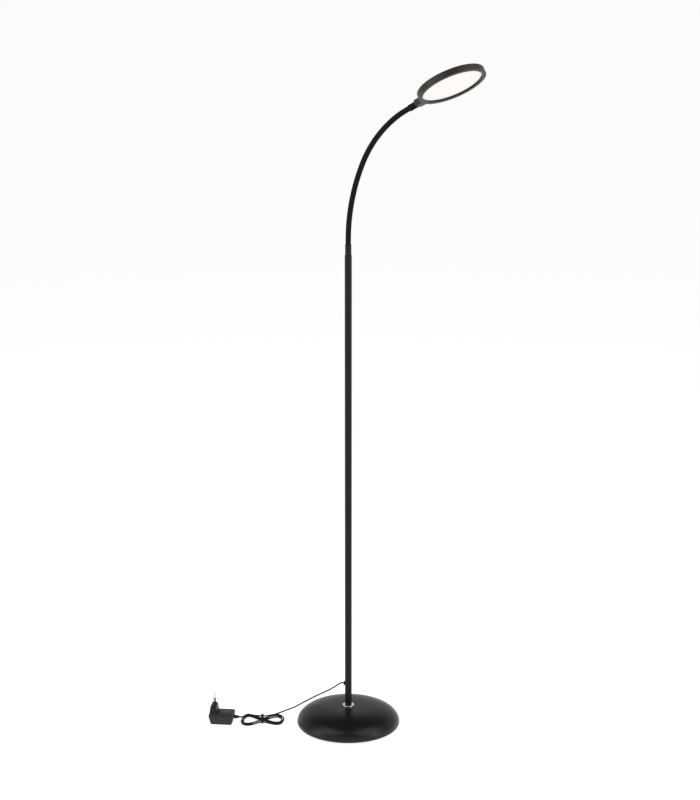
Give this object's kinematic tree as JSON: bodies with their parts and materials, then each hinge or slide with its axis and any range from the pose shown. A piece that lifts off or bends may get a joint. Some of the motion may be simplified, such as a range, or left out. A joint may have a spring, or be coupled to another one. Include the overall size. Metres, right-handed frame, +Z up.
{
  "type": "task floor lamp",
  "caption": "Slim floor lamp with a weighted dome base, a straight sectional pole, a bendable neck and a thin round LED head, with its cord in a tied hank and a plug-in supply.",
  "frame": {"origin": "centre of the base's underside, on the floor", "axes": "+Z up along the pole, +X the way the neck carries the head, the cord leaves at -X"},
  "size_m": [0.5244, 0.2187, 1.3043],
  "materials": {
    "base_black": "satin",
    "pole_black": "semi-matte",
    "weight_iron": "rough cast",
    "plated_steel": "zinc plated",
    "collar_chrome": "polished",
    "pad_black": "matte foam",
    "rubber_black": "matte",
    "cord_black": "satin",
    "neck_sleeve": "matte",
    "head_grey": "fine matte",
    "opal": "satin opal",
    "clear_guide": "clear",
    "white_sheet": "white",
    "led_yellow": "phosphor",
    "foam_grey": "open foam",
    "board_green": "solder mask",
    "tie_black": "matte",
    "adapter_black": "fine texture",
    "tape_yellow": "taped winding",
    "pin_nickel": "nickel plated"
  },
  "bodies": {
    "stand": {"base_shell": "base_black", "base_weight": "weight_iron", "base_cover": "base_black", "base_cover_screws": "plated_steel", "base_pad": "pad_black", "base_bolt": "plated_steel", "bolt_spring_washer": "plated_steel", "bolt_flat_washer": "plated_steel", "foot_collar": "collar_chrome", "pole_lower": "pole_black", "pole_middle": "pole_black", "pole_upper": "pole_black", "pole_foot_insert": "plated_steel", "pole_top_insert": "plated_steel", "cord_grommet": "rubber_black", "inner_lead": "cord_black", "pole_stud_lower": "plated_steel", "pole_socket_lower": "plated_steel", "pole_stud_upper": "plated_steel", "pole_socket_upper": "plated_steel", "neck_lower_ferrule": "pole_black", "neck_root": "neck_sleeve", "cord_free": "cord_black", "cord_hank": "cord_black", "cord_tail": "cord_black", "cord_tie": "tie_black", "adapter_lower_case": "adapter_black", "adapter_upper_case": "adapter_black", "adapter_strain_relief": "rubber_black", "adapter_board": "board_green", "adapter_transformer": "tape_yellow", "plug_pins": "pin_nickel", "pin_sleeves": "adapter_black"},
    "neck_01": {"neck_link_01": "neck_sleeve"},
    "neck_02": {"neck_link_02": "neck_sleeve"},
    "neck_03": {"neck_link_03": "neck_sleeve"},
    "neck_04": {"neck_link_04": "neck_sleeve"},
    "neck_05": {"neck_link_05": "neck_sleeve"},
    "neck_06": {"neck_link_06": "neck_sleeve"},
    "neck_07": {"neck_link_07": "neck_sleeve"},
    "neck_08": {"neck_link_08": "neck_sleeve"},
    "neck_09": {"neck_link_09": "neck_sleeve"},
    "neck_10": {"neck_link_10": "neck_sleeve"},
    "neck_11": {"neck_link_11": "neck_sleeve"},
    "head": {"neck_link_12": "neck_sleeve", "neck_upper_ferrule": "pole_black", "head_housing": "head_grey", "head_bezel": "head_grey", "diffuser": "opal", "light_guide": "clear_guide", "reflector_sheet": "white_sheet", "led_strip": "white_sheet", "led_chips": "led_yellow", "backing_foam": "foam_grey", "control_board": "board_green", "head_lead": "cord_black", "neck_grub_screw": "plated_steel"}
  },
  "joints": [
    {"name": "neck_bend", "type": "hinge", "parent": "stand", "child": "neck_01", "pos_m": [0, 0, 0.9705], "axis": [0, 1, 0], "range_deg": [-10, 15]},
    {"name": "neck_sway", "type": "hinge", "parent": "neck_01", "child": "neck_02", "pos_m": [0.00084, 0, 0.99557], "axis": [0.9978, 0, -0.0669], "range_deg": [-10, 10]},
    {"name": "neck_bend_03", "type": "hinge", "parent": "neck_02", "child": "neck_03", "pos_m": [0.00335, 0, 1.02053], "axis": [0, 1, 0], "range_deg": [-10, 15]},
    {"name": "neck_sway_04", "type": "hinge", "parent": "neck_03", "child": "neck_04", "pos_m": [0.00753, 0, 1.04526], "axis": [0.9799, 0, -0.1994], "range_deg": [-10, 10]},
    {"name": "neck_bend_05", "type": "hinge", "parent": "neck_04", "child": "neck_05", "pos_m": [0.01335, 0, 1.06966], "axis": [0, 1, 0], "range_deg": [-10, 15]},
    {"name": "neck_sway_06", "type": "hinge", "parent": "neck_05", "child": "neck_06", "pos_m": [0.02079, 0, 1.09362], "axis": [0.9446, 0, -0.3283], "range_deg": [-10, 10]},
    {"name": "neck_bend_07", "type": "hinge", "parent": "neck_06", "child": "neck_07", "pos_m": [0.02981, 0, 1.11702], "axis": [0, 1, 0], "range_deg": [-10, 15]},
    {"name": "neck_sway_08", "type": "hinge", "parent": "neck_07", "child": "neck_08", "pos_m": [0.04013, 0, 1.13807], "axis": [0.8725, 0, -0.4886], "range_deg": [-10, 10]},
    {"name": "neck_bend_09", "type": "hinge", "parent": "neck_08", "child": "neck_09", "pos_m": [0.05268, 0, 1.15787], "axis": [0, 1, 0], "range_deg": [-10, 15]},
    {"name": "neck_sway_10", "type": "hinge", "parent": "neck_09", "child": "neck_10", "pos_m": [0.06732, 0, 1.17618], "axis": [0.7461, 0, -0.6659], "range_deg": [-10, 10]},
    {"name": "neck_bend_11", "type": "hinge", "parent": "neck_10", "child": "neck_11", "pos_m": [0.08386, 0, 1.19279], "axis": [0, 1, 0], "range_deg": [-10, 15]},
    {"name": "neck_sway_12", "type": "hinge", "parent": "neck_11", "child": "head", "pos_m": [0.10211, 0, 1.20751], "axis": [0.5842, 0, -0.8116], "range_deg": [-10, 10]}
  ],
  "couplings": [
    {"joint": "neck_bend_03", "follows": "neck_bend", "ratio": 1},
    {"joint": "neck_sway_04", "follows": "neck_sway", "ratio": 1},
    {"joint": "neck_bend_05", "follows": "neck_bend", "ratio": 1},
    {"joint": "neck_sway_06", "follows": "neck_sway", "ratio": 1},
    {"joint": "neck_bend_07", "follows": "neck_bend", "ratio": 1},
    {"joint": "neck_sway_08", "follows": "neck_sway", "ratio": 1},
    {"joint": "neck_bend_09", "follows": "neck_bend", "ratio": 1},
    {"joint": "neck_sway_10", "follows": "neck_sway", "ratio": 1},
    {"joint": "neck_bend_11", "follows": "neck_bend", "ratio": 1},
    {"joint": "neck_sway_12", "follows": "neck_sway", "ratio": 1}
  ]
}
